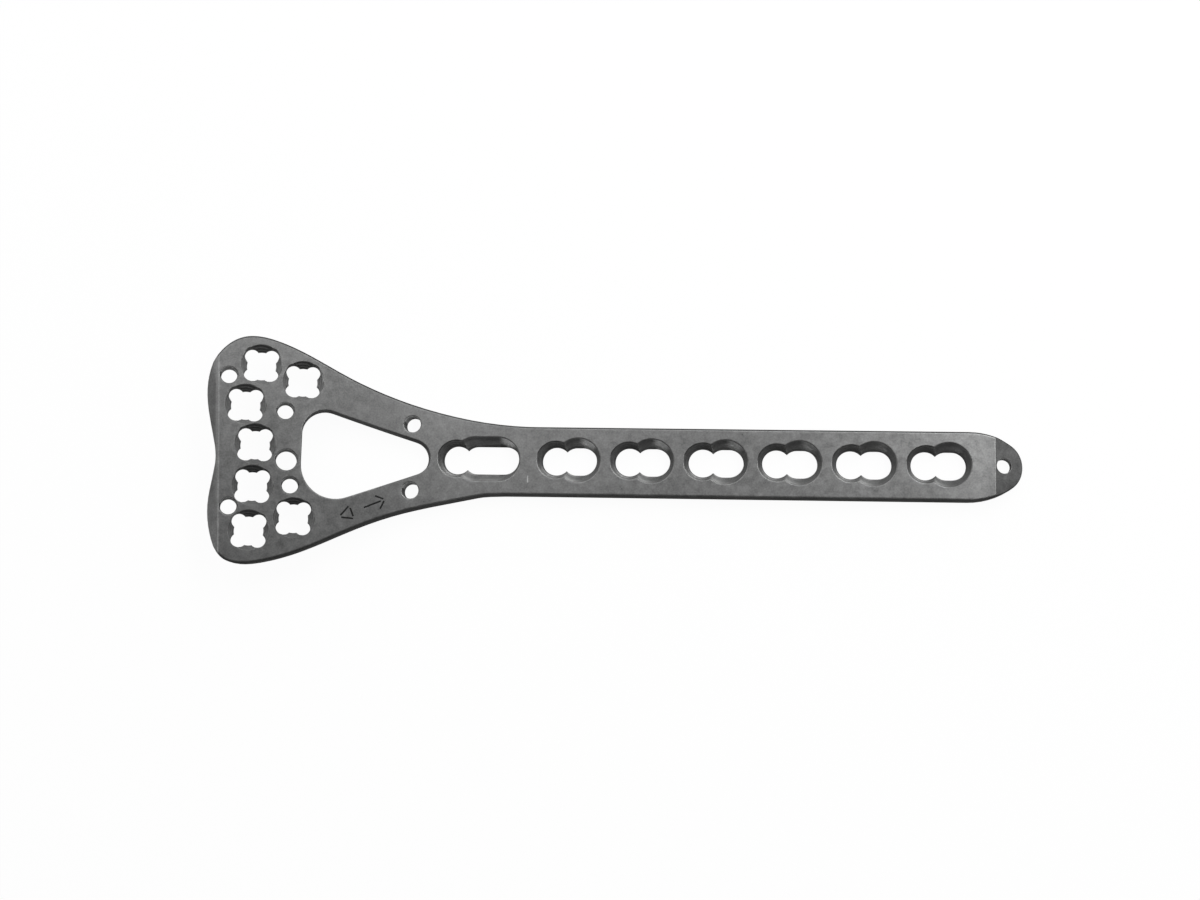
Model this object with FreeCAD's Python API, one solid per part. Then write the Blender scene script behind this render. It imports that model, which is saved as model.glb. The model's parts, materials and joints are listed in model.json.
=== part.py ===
"""Orthopedic bone plate for the wrist end of a radius, long shaft version, one piece of titanium.

The broad head has seven four-lobed locking holes, one round hole and four wire holes, and bends up
from the flat shaft. The neck has a rounded window and two wire holes. The shaft has one elongated
hole and six combination holes, each a round locking part that opens into a countersunk slot, and a
wire hole in its thinned tip.

Frame: millimetres. The origin is on the bone side of the plate, on the line of the shaft holes,
in the web between the window and the first shaft hole. +X runs along the shaft to its tip, +Y
across the plate and +Z from the bone side to the screw side.
"""
import FreeCAD, Part
import math
import os

from FreeCAD import Vector, Placement, Rotation

# Sheet
shaft_thickness = 2.0
shaft_width = 8.0
hole_line_offset = 0.14
head_thickness = 1.8
head_tilt = 14.0
bend_start = -0.7
bend_radius = 52.0
bend_radius_top = 50.2
edge_round_top = 0.3
edge_round_bottom = 0.18
window_round = 0.15
tip_round = 0.2

# Head and tip outline
head_north = 13.8
head_south = 12.85
flank_start = 12.0
tip_length = 11.07
tip_edge = 0.75
tip_slope = 21.0
distal_slope = 36.0
distal_skew = 2.9
distal_line = -24.80
distal_ease = 0.34

# Four-lobed locking holes in the head
lobed_bore = 3.36
lobed_rim = 4.66
lobed_land = 0.6
lobe_radius = 0.865
lobe_offset = 1.57

# Round holes and wire holes
round_bore = 2.4
wire_bore = 1.87
tip_wire_bore = 1.74
rim_bevel = 0.12

# Shaft holes
shaft_bore = 3.3
shaft_rim = 4.36
shaft_rim_depth = 1.2
combi_count = 6
combi_pitch = 8.5
first_combi = 14.07
slot_start = 2.38
slot_length = 0.69
seat_radius = 2.75
seat_height = 2.95
seat_offset = 2.57
long_hole = 2.49
long_slot_start = 2.38
long_slot_length = 3.25
long_seat_start = 2.15
long_seat_length = 2.66

# Window between the flanks
window_west = -15.55
window_east = 3.05
window_north = 6.27
window_south = -6.68
window_apex = 0.2
window_north_radius = 2.67
window_south_radius = 3.99
window_apex_radius = 2.08

# Places of the head holes in plan, halfway through the sheet
lobed_holes = [
    (-20.43, 10.34),
    (-15.73, 8.67),
    (-21.97, 5.60),
    (-20.71, 1.02),
    (-20.80, -3.82),
    (-16.09, -7.37),
    (-20.96, -9.00),
]
head_wires = [(-23.94, 8.88), (-17.53, 5.00), (-16.65, -3.64), (-23.30, -6.34)]
head_round = (-17.18, -0.72)

# Places of the wire holes in the neck and the tip
neck_wires = [(-2.79, 3.98), (-2.79, -3.80)]
tip_wire_inset = 2.22

half_shaft = shaft_width / 2
tip_x = first_combi + (combi_count - 1) * combi_pitch + tip_length
tilt = math.radians(head_tilt)
bend_end = Vector(
    bend_start - bend_radius * math.sin(tilt), 0, bend_radius * (1 - math.cos(tilt))
)
head_along = Vector(math.cos(tilt), 0, -math.sin(tilt))
head_up = Vector(math.sin(tilt), 0, math.cos(tilt))
head_frame = Placement(bend_end, Rotation(Vector(0, 1, 0), head_tilt))
far = 60.0


def rounded_edges(corners, closed):
    """Edges through corners (x, y, radius), each one rounded; an open chain has plain ends.

    Two roundings that would meet on the side between them are both limited to its length.
    """
    points = [Vector(x, y, 0) for x, y, radius in corners]
    count = len(points)
    turning = range(count) if closed else range(1, count - 1)
    halves = [math.pi / 2] * count
    reaches = [0.0] * count
    for i in turning:
        half = (points[i - 1] - points[i]).getAngle(points[(i + 1) % count] - points[i]) / 2
        halves[i] = half
        reaches[i] = corners[i][2] / math.tan(half)
    sides = range(count) if closed else range(count - 1)
    for i in sides:
        after = (i + 1) % count
        room = 0.98 * points[i].distanceToPoint(points[after])
        total = reaches[i] + reaches[after]
        if total > room:
            reaches[i] *= room / total
            reaches[after] *= room / total
    starts = list(points)
    ends = list(points)
    edges = []
    for i in turning:
        back = (points[i - 1] - points[i]).normalize()
        ahead = (points[(i + 1) % count] - points[i]).normalize()
        radius = reaches[i] * math.tan(halves[i])
        inward = (back + ahead).normalize()
        middle = points[i] + inward * (radius / math.sin(halves[i]) - radius)
        starts[i] = points[i] + back * reaches[i]
        ends[i] = points[i] + ahead * reaches[i]
        edges.append(Part.Arc(starts[i], middle, ends[i]).toShape())
    for i in sides:
        edges.append(Part.LineSegment(ends[i], starts[(i + 1) % count]).toShape())
    return edges


def rounded_outline(corners):
    """Closed wire in the XY plane with rounded corners."""
    return Part.Wire(Part.__sortEdges__(rounded_edges(corners, True)))


def prism(wire, low, high):
    """Solid between two heights over a wire in the XY plane."""
    face = Part.Face(wire)
    face.translate(Vector(0, 0, low))
    return face.extrude(Vector(0, 0, high - low))


def cone(bottom_radius, top_radius, low, high):
    """Upright cone between two heights, carried on above them at the same slope."""
    grow = (top_radius - bottom_radius) / (high - low)
    above = 1.0
    return Part.makeCone(
        bottom_radius, top_radius + grow * above, high - low + above, Vector(0, 0, low)
    )


def post(radius, low, high, x=0, y=0):
    """Upright cylinder between two heights."""
    return Part.makeCylinder(radius, high - low, Vector(x, y, low))


def slot(radius, start, length, low, high):
    """Upright slot whose first arc stands at x = start."""
    body = post(radius, low, high, start)
    body = body.fuse(post(radius, low, high, start + length))
    box = Part.makeBox(length, 2 * radius, high - low, Vector(start, -radius, low))
    return body.fuse(box).removeSplitter()


def north(share):
    """y of an outline corner, as a share of the way from the shaft edge to the head edge."""
    return half_shaft + share * (head_north - half_shaft)


def south(share):
    return -half_shaft - share * (head_south - half_shaft)


def along_head(x):
    """Distance along the head, from the end of the bend, of a place given in plan."""
    middle = head_thickness / 2
    return (x - bend_end.x - middle * math.sin(tilt)) / math.cos(tilt)


# Side profile: flat shaft, bend, and a slightly thinner head
def sheet():
    away = -far
    low_line_end = bend_end + head_along * away
    high_foot = bend_end + head_up * head_thickness
    run = (high_foot.z - shaft_thickness) / math.sin(tilt)
    meeting = high_foot + head_along * run
    reach = bend_radius_top * math.tan(tilt / 2)
    top_start = Vector(meeting.x + reach, 0, shaft_thickness)
    top_end = meeting - head_along * reach
    top_middle = Vector(
        top_start.x - bend_radius_top * math.sin(tilt / 2),
        0,
        shaft_thickness + bend_radius_top * (1 - math.cos(tilt / 2)),
    )
    low_start = Vector(bend_start, 0, 0)
    low_middle = Vector(
        bend_start - bend_radius * math.sin(tilt / 2), 0, bend_radius * (1 - math.cos(tilt / 2))
    )
    high_line_end = top_end + head_along * away
    end_low = Vector(tip_x + far, 0, 0)
    end_high = Vector(tip_x + far, 0, shaft_thickness)
    edges = [
        Part.LineSegment(end_low, low_start).toShape(),
        Part.Arc(low_start, low_middle, bend_end).toShape(),
        Part.LineSegment(bend_end, low_line_end).toShape(),
        Part.LineSegment(low_line_end, high_line_end).toShape(),
        Part.LineSegment(high_line_end, top_end).toShape(),
        Part.Arc(top_end, top_middle, top_start).toShape(),
        Part.LineSegment(top_start, end_high).toShape(),
        Part.LineSegment(end_high, end_low).toShape(),
    ]
    face = Part.Face(Part.Wire(edges))
    face.translate(Vector(0, -far, 0))
    return face.extrude(Vector(0, 2 * far, 0))


# Plan outline: one smooth line round the head from the north edge of the shaft to its south edge,
# then the shaft and its rounded tip
def outline():
    head_points = [
        (flank_start, half_shaft),
        (-0.09, north(0.168)),
        (-10.76, north(0.580)),
        (-17.92, north(0.936)),
        (-22.52, north(0.980)),
        (-24.93, north(0.785)),
        (-26.22, north(0.370)),
        (-25.54, 3.20),
        (-24.82, -0.85),
        (-25.52, south(0.158)),
        (-25.00, south(0.650)),
        (-23.58, south(0.918)),
        (-19.03, south(0.939)),
        (-10.66, south(0.548)),
        (-3.99, south(0.254)),
        (4.02, south(0.051)),
        (flank_start, -half_shaft),
    ]
    head = Part.BSplineCurve()
    head.interpolate(
        Points=[Vector(x, y, 0) for x, y in head_points],
        InitialTangent=Vector(-1, 0, 0),
        FinalTangent=Vector(1, 0, 0),
    )
    shaft_corners = [
        (flank_start, -half_shaft, 0),
        (tip_x - 3.78, -half_shaft, 8.6),
        (tip_x, -half_shaft * 0.40, 3.1),
        (tip_x, half_shaft * 0.44, 3.0),
        (tip_x - 3.87, half_shaft, 8.8),
        (flank_start, half_shaft, 0),
    ]
    edges = [head.toShape()] + rounded_edges(shaft_corners, False)
    wire = Part.Wire(Part.__sortEdges__(edges))
    wire.translate(Vector(0, -hole_line_offset, 0))
    return wire


# Slopes that thin the tip of the shaft and the distal edge of the head
def tip_cut():
    slope = math.radians(tip_slope)
    run = (shaft_thickness - tip_edge) / math.tan(slope)
    box = Part.makeBox(far, 2 * far, far, Vector(0, -far, 0))
    box.rotate(Vector(0, 0, 0), Vector(0, 1, 0), tip_slope)
    box.translate(Vector(tip_x - run, 0, shaft_thickness))
    return box


def distal_cut(slope, line):
    box = Part.makeBox(far, 2 * far, far, Vector(-far, -far, 0))
    box.rotate(Vector(0, 0, 0), Vector(0, 1, 0), -slope)
    box.rotate(Vector(0, 0, 0), Vector(0, 0, 1), distal_skew)
    box.translate(Vector(along_head(line), 0, head_thickness))
    box.Placement = head_frame.multiply(box.Placement)
    return box


# Four-lobed locking hole, drawn upright over the bone face of the head
def lobed_hole():
    cutter = post(lobed_bore / 2, -1, head_thickness + 1)
    cutter = cutter.fuse(cone(lobed_bore / 2, lobed_rim / 2, lobed_land, head_thickness))
    for quarter in range(4):
        turn = math.radians(45 + 90 * quarter)
        x = lobe_offset * math.cos(turn)
        y = lobe_offset * math.sin(turn)
        cutter = cutter.fuse(post(lobe_radius, -1, head_thickness + 1, x, y))
    return cutter


def plain_hole(bore, thickness):
    """Round hole with a narrow bevel at the top rim."""
    cutter = post(bore / 2, -1, thickness + 1)
    rim = bore / 2 + rim_bevel
    return cutter.fuse(cone(bore / 2, rim, thickness - rim_bevel, thickness))


def head_place(place):
    """Placement on the head's bone face of a hole given by its place in plan."""
    x, y = place
    return head_frame.multiply(Placement(Vector(along_head(x), y, 0), Rotation()))


def placed(shape, placement):
    copy = shape.copy()
    copy.Placement = placement.multiply(copy.Placement)
    return copy


# Shaft hole: round locking part with a conical rim, opening into a slot with a spherical seat
def shaft_hole(start, length, seat_start, seat_length):
    radius = shaft_bore / 2
    low = -1
    high = shaft_thickness + 1
    cutter = post(radius, low, high)
    cutter = cutter.fuse(
        cone(radius, shaft_rim / 2, shaft_thickness - shaft_rim_depth, shaft_thickness)
    )
    cutter = cutter.fuse(slot(radius, start, length, low, high))
    seat = Part.makeSphere(seat_radius, Vector(seat_start, 0, seat_height))
    if seat_length > 0:
        far_seat = Part.makeSphere(seat_radius, Vector(seat_start + seat_length, 0, seat_height))
        groove = Part.makeCylinder(
            seat_radius, seat_length, Vector(seat_start, 0, seat_height), Vector(1, 0, 0)
        )
        seat = seat.fuse(far_seat).fuse(groove).removeSplitter()
    return cutter.fuse(seat)


# Window, cut square to the head
def window():
    corners = [
        (along_head(window_west), window_north, window_north_radius),
        (along_head(window_east), window_apex, window_apex_radius),
        (along_head(window_west), window_south, window_south_radius),
    ]
    body = prism(rounded_outline(corners), -far / 4, far / 4)
    return placed(body, head_frame)


def bone_side_height(x):
    """Height of the bone face over X."""
    back = bend_start - x
    if back <= 0:
        return 0
    if x >= bend_end.x:
        return bend_radius - math.sqrt(bend_radius ** 2 - back ** 2)
    return bend_end.z + (bend_end.x - x) * math.tan(tilt)


def edge_points(edge):
    span = edge.LastParameter - edge.FirstParameter
    return [edge.valueAt(edge.FirstParameter + span * share) for share in (0, 0.25, 0.5, 0.75, 1)]


def crosses_plate(edge):
    """True for the smooth seams of the bend, which run straight across the plate."""
    return edge.BoundBox.XLength < 0.01 and edge.BoundBox.ZLength < 0.01


def rim_edges(body, bone_side):
    """Edges around the outside of the sheet on the bone side or on the screw side."""
    thin = min(head_thickness, shaft_thickness) / 2
    found = []
    for edge in body.Edges:
        if crosses_plate(edge):
            continue
        heights = [point.z - bone_side_height(point.x) for point in edge_points(edge)]
        if bone_side and max(heights) < 0.02:
            found.append(edge)
        if not bone_side and min(heights) > thin:
            found.append(edge)
    return found


def fresh_edges(body, before):
    """Edges that the last cut made."""
    old = [edge.CenterOfMass for edge in before.Edges]
    found = []
    for edge in body.Edges:
        nearest = min(edge.CenterOfMass.distanceToPoint(point) for point in old)
        if nearest > 1e-4:
            found.append(edge)
    return found


def window_rims(body, before):
    """The window's edges on both faces of the sheet."""
    thin = min(head_thickness, shaft_thickness) / 2
    found = []
    for edge in fresh_edges(body, before):
        heights = [point.z - bone_side_height(point.x) for point in edge_points(edge)]
        if max(heights) < 0.02 or min(heights) > thin:
            found.append(edge)
    return found


def slope_rim(body, before):
    """Outer edge of the sloping tip, up to where the rounded edge of the shaft takes over."""
    top = shaft_thickness - edge_round_top + 0.01
    found = []
    for edge in fresh_edges(body, before):
        span = edge.BoundBox
        upright = span.XLength < 0.01 and span.YLength < 0.01
        if span.ZMax < top and not upright:
            found.append(edge)
    return found


def bone_plate():
    body = sheet().common(prism(outline(), -5, 25)).removeSplitter().Solids[0]
    body = body.makeFillet(edge_round_top, rim_edges(body, False))
    body = body.makeFillet(edge_round_bottom, rim_edges(body, True))
    opened = body.cut(window())
    body = opened.makeFillet(window_round, window_rims(opened, body))
    sloped = body.cut(tip_cut())
    body = sloped.makeFillet(tip_round, slope_rim(sloped, body))
    body = body.cut(distal_cut(distal_slope, distal_line))
    half_slope = distal_slope / 2
    half_ease = distal_ease / 2 / math.cos(math.radians(half_slope))
    body = body.cut(distal_cut(half_slope, distal_line + half_ease))

    cutters = []
    lobed = lobed_hole()
    for place in lobed_holes:
        cutters.append(placed(lobed, head_place(place)))
    for place in head_wires:
        cutters.append(placed(plain_hole(wire_bore, head_thickness), head_place(place)))
    cutters.append(placed(plain_hole(round_bore, head_thickness), head_place(head_round)))
    for x, y in neck_wires:
        level = bone_side_height(x)
        hole = plain_hole(wire_bore, shaft_thickness)
        cutters.append(placed(hole, Placement(Vector(x, y, level), Rotation())))
    tip_hole = post(tip_wire_bore / 2, -1, shaft_thickness + 1, tip_x - tip_wire_inset)
    cutters.append(tip_hole)

    long_cut = shaft_hole(long_slot_start, long_slot_length, long_seat_start, long_seat_length)
    cutters.append(placed(long_cut, Placement(Vector(long_hole, 0, 0), Rotation())))
    combi_cut = shaft_hole(slot_start, slot_length, seat_offset, 0)
    for i in range(combi_count):
        x = first_combi + i * combi_pitch
        cutters.append(placed(combi_cut, Placement(Vector(x, 0, 0), Rotation())))

    for cutter in cutters:
        body = body.cut(cutter)
    return body.Solids[0]


os.makedirs("parts", exist_ok=True)
plate = bone_plate()
if not plate.isValid():
    raise RuntimeError("the plate is not a valid solid")
box = plate.BoundBox
print("size %.2f x %.2f x %.2f mm" % (box.XLength, box.YLength, box.ZLength))
print("x %.2f to %.2f, y %.2f to %.2f, z %.2f to %.2f" % (
    box.XMin, box.XMax, box.YMin, box.YMax, box.ZMin, box.ZMax))
print("volume %.1f mm3, mass in titanium %.2f g" % (plate.Volume, plate.Volume * 0.00443))
plate.exportStep("parts/bone_plate.step")
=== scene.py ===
"""Looks of the long wrist plate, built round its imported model.

Metres, in the part's own frame: X along the shaft to the tip, Y across the plate, Z from the bone
side to the screw side. The plate is one piece, so everything rides on the one body.
"""
import json
import math

import bmesh
import bpy
from mathutils import Matrix, Vector


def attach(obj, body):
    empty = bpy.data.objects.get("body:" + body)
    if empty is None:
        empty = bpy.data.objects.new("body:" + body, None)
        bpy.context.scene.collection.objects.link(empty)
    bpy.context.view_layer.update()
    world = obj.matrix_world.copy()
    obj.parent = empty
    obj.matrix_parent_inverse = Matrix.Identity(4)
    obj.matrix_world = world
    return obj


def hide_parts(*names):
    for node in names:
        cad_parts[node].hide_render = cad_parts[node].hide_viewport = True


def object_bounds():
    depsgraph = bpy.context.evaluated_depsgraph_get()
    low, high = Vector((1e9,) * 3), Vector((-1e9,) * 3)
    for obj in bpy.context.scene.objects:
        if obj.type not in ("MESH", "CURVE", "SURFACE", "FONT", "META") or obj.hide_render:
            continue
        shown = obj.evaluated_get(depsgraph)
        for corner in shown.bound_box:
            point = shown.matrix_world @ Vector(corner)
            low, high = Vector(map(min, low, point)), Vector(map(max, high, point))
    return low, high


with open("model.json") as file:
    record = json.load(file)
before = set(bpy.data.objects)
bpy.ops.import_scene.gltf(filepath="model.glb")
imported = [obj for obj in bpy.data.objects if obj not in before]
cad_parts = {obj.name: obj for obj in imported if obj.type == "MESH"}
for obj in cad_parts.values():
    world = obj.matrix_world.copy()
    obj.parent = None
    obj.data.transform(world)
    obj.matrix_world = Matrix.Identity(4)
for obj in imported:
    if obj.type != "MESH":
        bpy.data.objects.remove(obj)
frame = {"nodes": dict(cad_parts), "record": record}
part_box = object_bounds()
scene = bpy.context.scene
scene.view_settings.view_transform = "Standard"


# Camera, 200 mm over the screw side, a little to the south and towards the tip, so that the
# south walls and the north walls of the holes show.
camera_place = Vector((0.03156, -0.02778, 0.200))
camera_aim = Vector((0.01917, 0.00122, 0.0020))
camera_roll = 0.0212
camera_data = bpy.data.cameras.new("camera")
camera_data.sensor_width = 36
camera_data.lens = 51.975
camera_data.clip_start = 0.01
camera_data.clip_end = 20
camera = bpy.data.objects.new("camera", camera_data)
look = (camera_aim - camera_place).normalized()
right = look.cross(Vector((0, 1, 0))).normalized()
up = right.cross(look)
facing = Matrix((right, up, -look)).transposed().to_4x4()
camera.matrix_world = (
    Matrix.Translation(camera_place) @ facing @ Matrix.Rotation(camera_roll, 4, "Z")
)
scene.collection.objects.link(camera)
scene.camera = camera


# Floor, a plain sheet of matt paper a hair below the bone side of the plate. The camera sees it as
# white with a faint shadow, and the metal shows it dimly.
floor_size = 3.0
floor_gap = 0.00002
paper_colour = (0.80, 0.80, 0.80, 1)
paper_seen_by_metal = (0.12, 0.12, 0.12, 1)
pure_white = (1, 1, 1, 1)
white_for_camera = 0.96
white_for_metal = 0.06
white_for_glass = 0.3


class Signal:
    """One output in a material's nodes. Sums on signals add Math nodes."""

    def __init__(self, tree, socket=None):
        self.tree = tree
        self.socket = socket

    def node(self, kind, sockets=None, out=0, **settings):
        """A node of any kind: its settings are set first, then its sockets are filled or linked."""
        made = self.tree.nodes.new(kind)
        for name, value in settings.items():
            setattr(made, name, value)
        for name, value in (sockets or {}).items():
            if isinstance(value, Signal):
                self.tree.links.new(value.socket, made.inputs[name])
            else:
                made.inputs[name].default_value = value
        if len(made.outputs) == 0:
            return None
        return Signal(self.tree, made.outputs[out])

    def maths(self, operation, first, second):
        return self.node("ShaderNodeMath", {0: first, 1: second}, operation=operation)

    def __add__(self, other):
        return self.maths("ADD", self, other)

    def __radd__(self, other):
        return self.maths("ADD", other, self)

    def __sub__(self, other):
        return self.maths("SUBTRACT", self, other)

    def __rsub__(self, other):
        return self.maths("SUBTRACT", other, self)

    def __mul__(self, other):
        return self.maths("MULTIPLY", self, other)

    def __rmul__(self, other):
        return self.maths("MULTIPLY", other, self)


def new_material(name):
    """An empty material, and a first signal to build its nodes from."""
    material = bpy.data.materials.new(name)
    material.use_nodes = True
    material.node_tree.nodes.clear()
    return material, Signal(material.node_tree)


floor_mesh = bpy.data.meshes.new("floor")
shape = bmesh.new()
bmesh.ops.create_grid(shape, x_segments=1, y_segments=1, size=floor_size)
bmesh.ops.translate(shape, verts=shape.verts, vec=(0, 0, -floor_gap))
shape.to_mesh(floor_mesh)
shape.free()
floor = bpy.data.objects.new("floor", floor_mesh)
scene.collection.objects.link(floor)
floor_finish, start = new_material("pale_floor")
camera_ray = start.node("ShaderNodeLightPath", out="Is Camera Ray")
glossy_ray = start.node("ShaderNodeLightPath", out="Is Glossy Ray")
glass_ray = start.node("ShaderNodeLightPath", out="Is Transmission Ray")
seen = camera_ray * white_for_camera + glossy_ray * white_for_metal + glass_ray * white_for_glass
paper_tone = start.node(
    "ShaderNodeMix",
    {"Factor": camera_ray, 6: paper_seen_by_metal, 7: paper_colour},
    out=2,
    data_type="RGBA",
)
paper = start.node("ShaderNodeBsdfDiffuse", {"Color": paper_tone})
glow = start.node("ShaderNodeEmission", {"Color": pure_white, "Strength": 1.0})
mixed = start.node("ShaderNodeMixShader", {0: seen, 1: paper, 2: glow})
start.node("ShaderNodeOutputMaterial", {"Surface": mixed})
floor_mesh.materials.append(floor_finish)


# Light, three soft boxes overhead from just north of the zenith outwards, the east one brightest,
# and paler walls to the north and west. Nothing stands to the south, so south slopes stay dark.
box_height = 0.30
room_strength = 0.04
down = Vector((0, 0, -1))
south = Vector((0, -1, 0))
east = Vector((1, 0, 0))
room = bpy.data.worlds.new("room")
room.use_nodes = True
room.node_tree.nodes.clear()
start = Signal(room.node_tree)
camera_ray = start.node("ShaderNodeLightPath", out="Is Camera Ray")
dim_walls = start.node("ShaderNodeBackground", {"Color": pure_white, "Strength": room_strength})
backdrop = start.node("ShaderNodeBackground", {"Color": pure_white, "Strength": 1.0})
mixed = start.node("ShaderNodeMixShader", {0: camera_ray, 1: dim_walls, 2: backdrop})
start.node("ShaderNodeOutputWorld", {"Surface": mixed})
scene.world = room


def soft_box(name, middle, width, depth, faces, radiance):
    """Rectangular lamp that faces one way and shows evenly bright."""
    lamp = bpy.data.lights.new(name, "AREA")
    lamp.shape = "RECTANGLE"
    lamp.size = width
    lamp.size_y = depth
    lamp.energy = radiance * math.pi * width * depth
    box = bpy.data.objects.new(name, lamp)
    box.location = middle
    box.rotation_euler = faces.to_track_quat("-Z", "Y").to_euler()
    box.visible_camera = False
    scene.collection.objects.link(box)


soft_box("top_west", (-0.195, 0.25, box_height), 0.41, 0.40, down, 2.3)
soft_box("top_middle", (0.075, 0.265, box_height), 0.13, 0.37, down, 2.4)
soft_box("top_east", (0.21, 0.215, box_height), 0.14, 0.47, down, 8.0)
soft_box("north_wall", (-0.05, 0.70, 0.225), 1.90, 0.45, south, 1.2)
soft_box("west_wall", (-0.70, -0.15, 0.225), 0.70, 0.45, east, 0.5)


# Plate, milled from titanium sheet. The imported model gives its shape; its faces are joined again
# here, and the sharp rims of the holes are broken as deburring leaves them.
joint_gap = 1e-7
joint_angle = math.radians(0.5)
rim_angle = math.radians(26)
rim_segments = 4
screw_side_facing = 0.79
cone_facing = 0.76
bone_side_facing = -0.9
bore_facing = -0.5
head_rim_break = 0.000045
neck_rim_break = 0.00006
shaft_rim_break = 0.00012
shaft_end = 0.0630
head_tilt = math.radians(14)
bend_start = -0.0007
bend_radius = 0.052
bend_end = bend_start - bend_radius * math.sin(head_tilt)


def sheet_normal(x):
    """Which way the screw side faces at a distance along the plate."""
    turn = math.asin(min(max(bend_start - x, 0) / bend_radius, math.sin(head_tilt)))
    return Vector((math.sin(turn), 0, math.cos(turn)))


def is_rim(edge):
    """Whether an edge is sharp, between a broad side of the sheet and a wall or cone."""
    if edge.calc_face_angle(0) < rim_angle:
        return False
    broad = sheet_normal(edge.verts[0].co.x)
    low, high = sorted(face.normal.dot(broad) for face in edge.link_faces)
    on_screw_side = high > screw_side_facing and low < cone_facing
    on_bone_side = low < bone_side_facing and high > bore_facing
    return on_screw_side or on_bone_side


def closed_rims(shape, low_x, high_x):
    """The rims between two distances along the plate that run right round their holes."""
    rims = [
        edge for edge in shape.edges if low_x < edge.verts[0].co.x < high_x and is_rim(edge)
    ]
    closed = False
    while not closed:
        known = set(rims)
        kept = []
        for edge in rims:
            meets = [sum(other in known for other in end.link_edges) for end in edge.verts]
            if meets == [2, 2]:
                kept.append(edge)
        closed = len(kept) == len(rims)
        rims = kept
    return rims


metal, start = new_material("satin_titanium")
plate_mesh = frame["nodes"]["bone_plate"].data.copy()
plate_mesh.materials.clear()
plate_mesh.materials.append(metal)
shape = bmesh.new()
shape.from_mesh(plate_mesh)
bmesh.ops.remove_doubles(shape, verts=shape.verts, dist=joint_gap)
bmesh.ops.dissolve_limit(
    shape, angle_limit=joint_angle, verts=shape.verts, edges=shape.edges
)
for low_x, high_x, size in (
    (part_box[0][0], bend_end, head_rim_break),
    (bend_end, 0, neck_rim_break),
    (0, shaft_end, shaft_rim_break),
    (shaft_end, part_box[1][0], neck_rim_break),
):
    shape.normal_update()
    bmesh.ops.bevel(
        shape,
        geom=closed_rims(shape, low_x, high_x),
        offset=size,
        offset_type="OFFSET",
        affect="EDGES",
        segments=rim_segments,
        profile=0.5,
        material=-1,
    )
shape.to_mesh(plate_mesh)
shape.free()
plate = bpy.data.objects.new("plate", plate_mesh)
scene.collection.objects.link(plate)

# Thread in the locking holes, a helical groove that follows the bore and its conical rim. In the
# shaft it widens later than the cone does, so it fades half way up and comes back at the top.
thread_pitch = 0.00045
thread_width = 0.00030
thread_depth = 0.00012
thread_root = 0.00004
steps_per_turn = 32
head_thickness = 0.0018
head_thread_widens = 0.0006
head_rim_radius = 0.00233
shaft_thickness = 0.0020
shaft_thread_widens = 0.0012
shaft_rim_radius = 0.00218


def holes_named(first_words):
    """Foot on the bone side, axis and bore radius of each packed mount whose name begins so."""
    found = []
    for mount in frame["record"]["mounts"]:
        if mount["name"].startswith(first_words):
            axis = Vector(mount["axis"])
            land = mount["dims"]["length_mm"] / 1000
            foot = Vector(mount["pos_m"]) - axis * land / 2
            found.append((foot, axis, mount["dims"]["r_mm"] / 1000))
    return found


def thread_groove(radius, widens, rim_radius, top):
    """Solid to cut out: a V groove wound straight up, then wider and wider from a given height."""
    grow = (rim_radius - radius) / (top - widens)
    half = thread_width / 2 * (thread_depth + thread_root) / thread_depth
    low = -2 * thread_pitch
    turns = math.ceil((top - low) / thread_pitch) + 1
    groove = bmesh.new()
    corners = [
        groove.verts.new((radius - thread_root, 0, low - half)),
        groove.verts.new((radius + thread_depth, 0, low)),
        groove.verts.new((radius - thread_root, 0, low + half)),
    ]
    face = groove.faces.new(corners)
    bmesh.ops.spin(
        groove,
        geom=[face],
        cent=(0, 0, 0),
        axis=(0, 0, 1),
        dvec=(0, 0, thread_pitch / steps_per_turn),
        angle=2 * math.pi * turns,
        steps=steps_per_turn * turns,
    )
    for corner in groove.verts:
        rise = min(max(corner.co.z, widens), top) - widens
        out = math.hypot(corner.co.x, corner.co.y)
        corner.co.x *= (out + grow * rise) / out
        corner.co.y *= (out + grow * rise) / out
    bmesh.ops.recalc_face_normals(groove, faces=groove.faces)
    return groove


def add_solid(solids, solid, place):
    """Puts a bmesh solid at its place among others, and frees it."""
    bmesh.ops.transform(solid, matrix=place, verts=solid.verts)
    mesh = bpy.data.meshes.new("solid")
    solid.to_mesh(mesh)
    solid.free()
    solids.from_mesh(mesh)
    bpy.data.meshes.remove(mesh)


lobed_holes = holes_named("head_screw")
shaft_holes = holes_named("shaft_screw")
grooves = bmesh.new()
for group, widens, rim_radius, top in (
    (lobed_holes, head_thread_widens, head_rim_radius, head_thickness),
    (shaft_holes, shaft_thread_widens, shaft_rim_radius, shaft_thickness),
):
    for foot, axis, bore in group:
        turn = Vector((0, 0, 1)).rotation_difference(axis).to_matrix().to_4x4()
        groove = thread_groove(bore, widens, rim_radius, top)
        add_solid(grooves, groove, Matrix.Translation(foot) @ turn)

# Marks burnt into the neck by a laser, an open triangle and an arrow, and one old nick in the shaft.
mark_middle = Vector((-0.0084, -0.00605))
mark_turn = math.radians(23)
mark_width = 0.00020
mark_depth = 0.00003
mark_slot = 1
triangle = [
    ((-0.00235, 0.00017), (-0.00130, 0.00072)),
    ((-0.00235, -0.00017), (-0.00130, -0.00072)),
    ((-0.00112, 0.00042), (-0.00112, -0.00042)),
]
arrow = [
    ((0.00045, 0), (0.00235, 0)),
    ((0.00210, 0.00075), (0.00272, 0.00019)),
    ((0.00210, -0.00075), (0.00272, -0.00019)),
]
nick_start = Vector((0.01084, -0.00195))
nick_end = Vector((0.01086, -0.00262))
nick_width = 0.00013
nick_slot = 2
above_plate = 0.02


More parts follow.
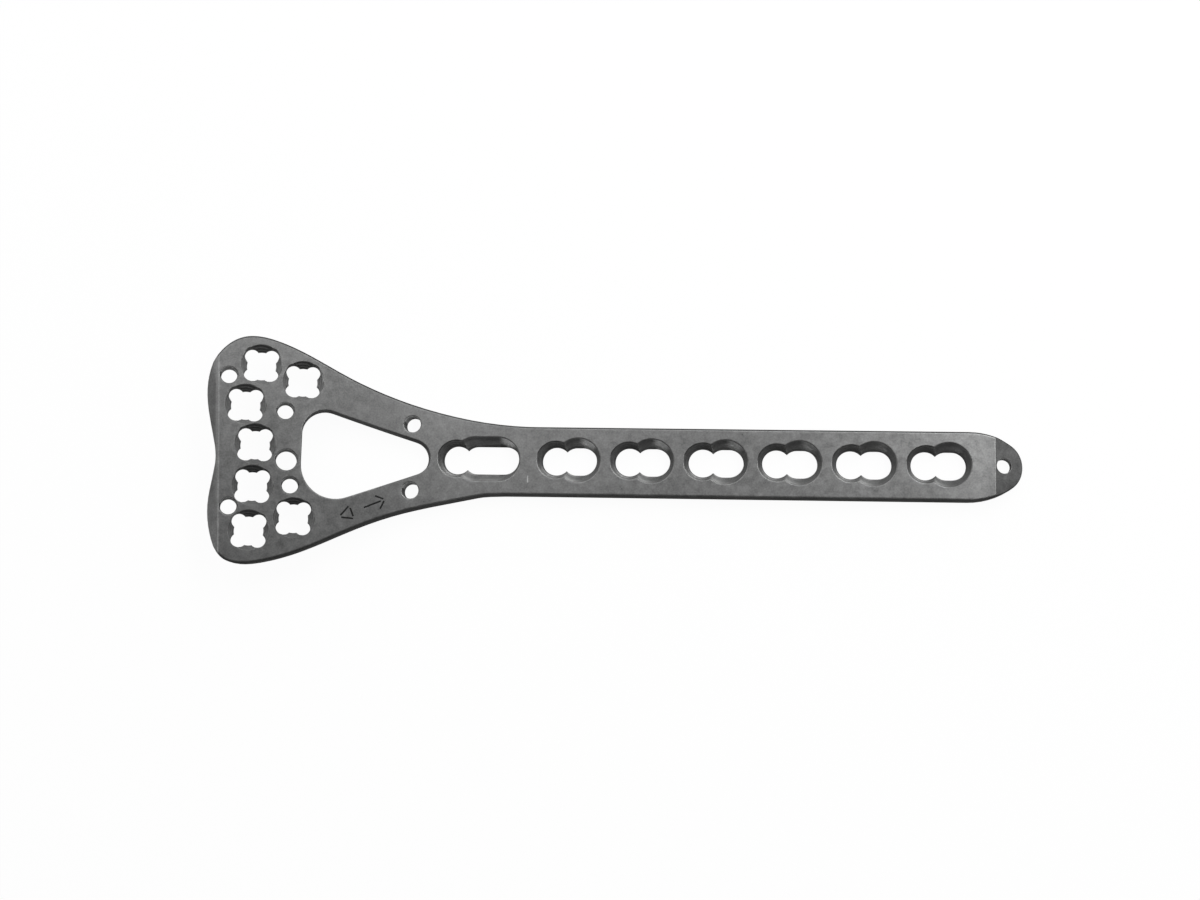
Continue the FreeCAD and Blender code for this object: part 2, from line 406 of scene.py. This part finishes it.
def add_stroke(solids, first, last, width, slot):
    """Adds a straight shallow cut in the screw side, between two points in plan."""
    middle = (first + last) / 2
    on_sheet = plate.ray_cast(Vector((middle.x, middle.y, above_plate)), down)[1]
    out = sheet_normal(middle.x)
    along = (last - first).to_3d()
    along = (along - out * along.dot(out)).normalized()
    facing = Matrix((along, out.cross(along), out)).transposed().to_4x4()
    size = Matrix.Diagonal(((last - first).length + width, width, 2 * mark_depth, 1))
    stroke = bmesh.new()
    bmesh.ops.create_cube(stroke, size=1)
    for face in stroke.faces:
        face.material_index = slot
    add_solid(solids, stroke, Matrix.Translation(on_sheet) @ facing @ size)


bpy.context.view_layer.update()
for ends in triangle + arrow:
    turned = [Vector(end) @ Matrix.Rotation(-mark_turn, 2) + mark_middle for end in ends]
    add_stroke(grooves, turned[0], turned[1], mark_width, mark_slot)
add_stroke(grooves, nick_start, nick_end, nick_width, nick_slot)

# The cut, with a slot of the same metal each for marks and nick, which tells them from the rest
# until the skin gets its tone.
sliver_size = 5e-7
groove_mesh = bpy.data.meshes.new("grooves")
grooves.to_mesh(groove_mesh)
grooves.free()
for mesh in (plate_mesh, groove_mesh):
    while len(mesh.materials) <= nick_slot:
        mesh.materials.append(metal)
cutter = bpy.data.objects.new("grooves", groove_mesh)
scene.collection.objects.link(cutter)
cut = plate.modifiers.new("threads", "BOOLEAN")
cut.operation = "DIFFERENCE"
cut.object = cutter
cut.solver = "EXACT"


def settled(piece):
    """The piece's mesh with its modifiers applied."""
    bpy.context.view_layer.update()
    whole = piece.evaluated_get(bpy.context.evaluated_depsgraph_get())
    mesh = bpy.data.meshes.new_from_object(whole)
    piece.modifiers.clear()
    piece.data = mesh
    return mesh


def drop_slivers(shape):
    """Deletes what a cut left loose: every part of a bmesh but the one with the most faces."""
    left = set(shape.faces)
    bodies = []
    while left:
        body = []
        reached = [left.pop()]
        while reached:
            face = reached.pop()
            body.append(face)
            for edge in face.edges:
                nearby = left.intersection(edge.link_faces)
                left -= nearby
                reached.extend(nearby)
        bodies.append(body)
    bodies.sort(key=len)
    loose = [face for body in bodies[:-1] for face in body]
    bmesh.ops.delete(shape, geom=loose, context="FACES")


plate_mesh = settled(plate)
bpy.data.objects.remove(cutter)
shape = bmesh.new()
shape.from_mesh(plate_mesh)
drop_slivers(shape)
bmesh.ops.dissolve_degenerate(shape, dist=sliver_size, edges=shape.edges)
drop_slivers(shape)
shape.to_mesh(plate_mesh)
shape.free()

# Shading of the faces: small faces lean on their large neighbours, and the bend between shaft and
# head is shaded as the smooth curve that it is.
crease_angle = math.radians(32)
level = math.cos(math.radians(2.5))
for face in plate_mesh.polygons:
    face.use_smooth = True
plate_mesh.set_sharp_from_angle(angle=crease_angle)
even = plate.modifiers.new("even_normals", "WEIGHTED_NORMAL")
even.mode = "FACE_AREA"
even.weight = 50
even.keep_sharp = True
plate_mesh = settled(plate)
normals = [Vector(corner.vector) for corner in plate_mesh.corner_normals]
for face in plate_mesh.polygons:
    broad = sheet_normal(face.center.x)
    side = 1 if face.normal.dot(broad) > 0 else -1
    if abs(face.normal.dot(broad)) < level:
        continue
    for index in face.loop_indices:
        corner = plate_mesh.vertices[plate_mesh.loops[index].vertex_index].co
        normals[index] = side * sheet_normal(corner.x)
plate_mesh.normals_split_custom_set(normals)
plate_mesh.name = "plate"

# Tone of the skin against the blasted broad sides, most of it painted light and shade: painted light
# on the walls of the lobed holes, the bores and the window, painted highlights and a painted glint
# on the screw seats with painted shade on their bore walls, and painted shade on the outer edge and
# the hole rims. Marks are dark, a nick bare.
rim_painted_shade = 0.85
rim_facing = 0.8
lobed_wall_painted_light = 1.25
side_lobed_painted_light = 2.3
south_lobed_painted_light = 1.9
thread_reach = 0.0026
side_facing = 0.6
seat_half_width = 0.0028
seat_shade = 1.0
seat_north_painted_light = 0.12
seat_wall_painted_shade = 0.6
seat_wall_rise = 0.2
seat_painted_highlight = 2.8
highlight_side = Vector((0.6, 0.8))
highlight_sharpness = 6
highlight_fading = 0.75
highlight_fades = (0.45, 0.6375)
seat_glint = 8.0
glint_side = Vector((-0.5, -0.866))
glint_arc = (0.90, 0.9833)
glint_rise = 0.50
glint_height = 0.2
glint_ends = 0.055
round_reach = 0.0025
bore_painted_light = 4.5
bore_reach = 0.0014
bore_south_facing = -0.3
window_painted_light = 1.7
window_ends = (-0.0165, -0.0028)
window_narrow_at = -0.004
window_narrow = 0.0026
window_widens = 0.36
north_edge_painted_shade = 0.85
edge_foot = (0.1, 0.2667)
edge_top = (1, 0.8333)
edge_north = (0, 0.5)
south_edge_painted_shade = 0.12
tip_slope_facing = 0.85
slot_shade = {mark_slot: 0.05, nick_slot: 2.2}


def in_plan(holes):
    """Where holes cross the middle of the sheet, as pairs of x and y."""
    return [tuple((foot + axis * head_thickness / 2).to_2d()) for foot, axis, bore in holes]


def near(spot, places, reach):
    """Whether a point is within reach of one of some places in plan."""
    return any(math.hypot(spot.x - x, spot.y - y) < reach for x, y in places)


def ramp(value, zero_at, one_at):
    """0 to 1 between two values, and level beyond them."""
    return min(max((value - zero_at) / (one_at - zero_at), 0), 1)


def edge_tone(facing, rise):
    """Outer edge: painted shade half way round its north side, and a little all along the south."""
    half_way = ramp(rise, *edge_foot) * ramp(rise, *edge_top)
    north_painted_shade = north_edge_painted_shade * half_way * ramp(facing.y, *edge_north)
    return 1 - north_painted_shade - south_edge_painted_shade * max(-facing.y, 0)


def seat_tone(spot, facing, rise):
    """Screw seats: painted highlights at their south-west, a painted glint at their north-east near
    the neck, painted shade on their bore walls, lighter where they face north.
    """
    if rise < seat_wall_rise:
        return seat_wall_painted_shade
    # Painted highlight on the south-west of each seat, and a painted glint on the north-east.
    highlight = max(facing.dot(highlight_side), 0) ** highlight_sharpness * seat_painted_highlight
    highlight *= 1 - highlight_fading * ramp(rise, *highlight_fades)
    glint = ramp(facing.dot(glint_side), *glint_arc) * seat_glint
    glint *= ramp(abs(rise - glint_rise), glint_height, 0) * ramp(spot.x, glint_ends, 0)
    if near(spot, round_places, round_reach):
        glint = 0
    return seat_shade + facing.y * seat_north_painted_light + highlight + glint


def wall_shade(spot, out):
    """Painted light and shade on a wall or cone at a point, from where it is and which way it faces.
    """
    facing = out.to_2d().normalized()
    # Walls of the window lie inside a taper that the outer edge stays clear of.
    half_width = window_narrow + window_widens * (window_narrow_at - spot.x)
    in_window = window_ends[0] < spot.x < window_ends[1] and abs(spot.y) < half_width
    in_seat = 0 < spot.x < shaft_end and abs(spot.y) < seat_half_width
    in_bore = near(spot, bore_places, bore_reach)
    in_lobes = near(spot, lobed_places, thread_reach)
    if not (in_window or in_seat or in_bore or in_lobes):
        return edge_tone(facing, out.z)
    # Rim breaks get painted shade that dims the lamps' reflection in them.
    if out.dot(sheet_normal(spot.x)) > rim_facing:
        return rim_painted_shade
    # Bores get painted light on their walls that face south.
    if in_bore:
        return bore_painted_light if out.z < rim_facing and facing.y < bore_south_facing else 1
    # Walls of the lobed holes get painted light, most where they face east, west or north.
    if in_lobes:
        if abs(facing.y) < side_facing:
            return side_lobed_painted_light
        return lobed_wall_painted_light if facing.y < 0 else south_lobed_painted_light
    # Window walls get painted light; the seats get their painted light and shade from seat_tone.
    return window_painted_light if in_window else seat_tone(spot, facing, out.z)


lobed_places = in_plan(lobed_holes)
round_places = in_plan(shaft_holes)
bore_places = in_plan(holes_named(("head_round", "head_wire", "neck_wire", "tip_wire")))
shade = plate_mesh.attributes.new("shade", "FLOAT", "CORNER")
corner_normals = [Vector(corner.vector) for corner in plate_mesh.corner_normals]
for face in plate_mesh.polygons:
    flat = abs(face.normal.dot(sheet_normal(face.center.x))) > level
    for index in face.loop_indices:
        corner = plate_mesh.vertices[plate_mesh.loops[index].vertex_index].co
        on_tip_slope = corner.x > shaft_end and face.normal.z > tip_slope_facing
        if face.material_index in slot_shade:
            value = slot_shade[face.material_index]
        elif flat or on_tip_slope:
            value = 1
        else:
            value = wall_shade(corner, corner_normals[index])
        shade.data[index].value = value
    face.material_index = 0
plate_mesh.materials.clear()
plate_mesh.materials.append(metal)

# Finish, blasted and anodised titanium: cloudy grey with fine mottling. Painted shade lies over the
# south of the head and on the thinned tip, painted light on the distal slope, its ridge and the
# north of the shaft's end. Each zone fades in from its first place to its second.
skin_colour = (0.158, 0.159, 0.158)
skin_metallic = 0.55
smooth_roughness = 0.24
mottled_roughness = 0.14
cloud_scale = 180.0
mottle_scale = 1100.0
grain_scale = 5200.0
grain_strength = 0.25
grain_height = 0.00001
south_zone = (0.003, -0.012)
head_zone = (0.001, -0.011)
middle_west_zone = (-0.0235, -0.021)
middle_east_zone = (-0.012, -0.016)
middle_side_zone = (0.007, 0.004)
ridge_skew = 0.0436
slope_zone = (-0.0242, -0.0248)
ridge_west_zone = (-0.02460, -0.02448)
ridge_east_zone = (-0.02432, -0.02444)
shaft_end_zone = (0.048, 0.058)
before_tip_zone = (0.0606, 0.0622)
tip_zone = (0.0625, 0.0640)
tip_side_zone = (0.0010, 0.0036)


def share(signal, zero_at, one_at):
    """0 to 1 on the surface between two values of a signal, and level beyond them."""
    return start.node("ShaderNodeMapRange", {"Value": signal, 1: zero_at, 2: one_at})


def noise(scale, detail):
    """Uneven patches of one size all over the plate."""
    sockets = {"Vector": here, "Scale": scale, "Detail": detail}
    return start.node("ShaderNodeTexNoise", sockets)


here = start.node("ShaderNodeTexCoord", out="Object")
down_shaft = start.node("ShaderNodeSeparateXYZ", {0: here}, out="X")
across = start.node("ShaderNodeSeparateXYZ", {0: here}, out="Y")
off_middle = start.node("ShaderNodeMath", {0: across}, operation="ABSOLUTE")
ridge = down_shaft + across * ridge_skew
cloud = noise(cloud_scale, 4.0)
mottle = noise(mottle_scale, 3.0)
grain = noise(grain_scale, 2.0)
patches = cloud * 0.4 + mottle * 0.6 + grain * 0.8 + 0.1
southward = share(across, *south_zone)
# Painted shade on the head, strongest to the south.
head_painted_shade = 1 - share(down_shaft, *head_zone) * (0.13 + 0.16 * southward)
middle_length = share(down_shaft, *middle_west_zone) * share(down_shaft, *middle_east_zone)
middle_tone = 1 - middle_length * share(off_middle, *middle_side_zone) * 0.12
# Painted light on the distal slope and a painted highlight along its ridge, both strongest to the
# south.
slope_painted_light = 1 + share(ridge, *slope_zone) * (0.10 + 0.50 * southward)
ridge_line = share(ridge, *ridge_west_zone) * share(ridge, *ridge_east_zone)
ridge_painted_highlight = 1 + ridge_line * (0.40 + 0.60 * southward)
# Painted light towards the north at the shaft's end.
end_painted_light = 1 + share(down_shaft, *shaft_end_zone) * (across * 30 - 0.03)
# Painted shade on the tip slope and towards its sides, with a band of painted light just before it.
tip_painted_shade = share(down_shaft, *tip_zone) * (0.14 + 0.18 * share(off_middle, *tip_side_zone))
tip_painted_light_and_shade = 1 + share(down_shaft, *before_tip_zone) * 0.04 - tip_painted_shade
fields = head_painted_shade * middle_tone * slope_painted_light * ridge_painted_highlight * end_painted_light * tip_painted_light_and_shade
painted = start.node("ShaderNodeAttribute", out="Fac", attribute_name="shade")
brightness = painted * patches * fields
colour = start.node(
    "ShaderNodeVectorMath", {0: skin_colour, "Scale": brightness}, operation="SCALE"
)
roughness = smooth_roughness + mottle * mottled_roughness
bump = start.node(
    "ShaderNodeBump", {"Height": grain, "Strength": grain_strength, "Distance": grain_height}
)
surface = start.node(
    "ShaderNodeBsdfPrincipled",
    {"Base Color": colour, "Metallic": skin_metallic, "Roughness": roughness, "Normal": bump},
)
start.node("ShaderNodeOutputMaterial", {"Surface": surface})
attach(plate, "root")
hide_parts("bone_plate")
